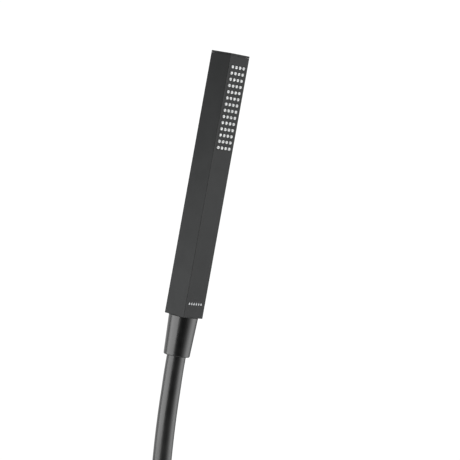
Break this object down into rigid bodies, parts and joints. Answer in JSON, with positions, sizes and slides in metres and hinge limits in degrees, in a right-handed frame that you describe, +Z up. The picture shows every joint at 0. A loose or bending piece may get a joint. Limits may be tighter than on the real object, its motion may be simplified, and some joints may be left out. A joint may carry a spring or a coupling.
{
  "type": "handheld shower head",
  "caption": "Slim square stick hand shower with silicone spray nozzles on one face, a conical hose nut and a smooth hose that ends in a threaded wall nut.",
  "frame": {"origin": "on the handle's axis, in the plane of the conical nut's wide upper end, where a wall holder's tapered fork carries the shower", "axes": "+Z runs up the handle's axis to its capped top end, and the spray face looks along -Y"},
  "size_m": [0.2341, 0.2251, 0.525],
  "materials": {
    "matt_black_coating": "matt black coating with a very fine grain",
    "satin_black_coating": "satin black",
    "hose_plastic": "smooth satin black plastic hose jacket",
    "nozzle_silicone": "pale grey silicone",
    "white_plastic": "moulded white plastic",
    "valve_plastic": "moulded blue plastic",
    "brass": "turned brass",
    "stainless": "plain stainless steel",
    "seal_rubber": "matt black rubber"
  },
  "bodies": {
    "handset": {"body_shell": "matt_black_coating", "top_cap": "matt_black_coating", "top_cap_seal": "seal_rubber", "nozzle_mat": "nozzle_silicone", "spray_housing": "white_plastic", "water_tube": "white_plastic", "water_tube_lower_o_ring": "seal_rubber", "water_tube_upper_o_ring": "seal_rubber", "inlet_insert": "brass", "inlet_insert_seal": "seal_rubber", "inlet_grub_screw": "stainless", "check_valve_housing": "valve_plastic", "check_valve_o_ring": "seal_rubber", "check_valve_guide": "valve_plastic", "check_valve_spring": "stainless", "flow_limiter": "white_plastic", "flow_limiter_o_ring": "seal_rubber", "strainer_washer": "seal_rubber", "strainer_screen": "stainless", "cone_nut": "satin_black_coating", "swivel_bush": "brass"},
    "check_poppet": {"check_valve_poppet": "white_plastic", "check_valve_poppet_seal": "seal_rubber"},
    "hose": {"hose_upper_nipple": "brass", "swivel_o_ring": "seal_rubber", "hose_upper_ferrule": "hose_plastic", "hose_tube": "hose_plastic", "hose_coil": "hose_plastic", "hose_tail_tube": "hose_plastic", "hose_lower_ferrule": "satin_black_coating", "hose_lower_nipple": "brass"},
    "outlet_nut": {"wall_nut": "satin_black_coating", "wall_washer": "seal_rubber"}
  },
  "joints": [
    {"name": "hose_swivel", "type": "hinge", "parent": "handset", "child": "hose", "pos_m": [0, 0, -0.0155], "axis": [0, 0, 1], "continuous": true},
    {"name": "outlet_nut_spin", "type": "hinge", "parent": "hose", "child": "outlet_nut", "pos_m": [0.209, 0.0172, -0.2773], "axis": [1, 0, 0], "continuous": true},
    {"name": "check_valve_lift", "type": "slide", "parent": "handset", "child": "check_poppet", "axis": [0, 0, 1], "range_m": [0, 0.002], "stiffness_N_per_m": 80, "springref_m": -0.0025, "deforming": ["check_valve_spring"]}
  ]
}
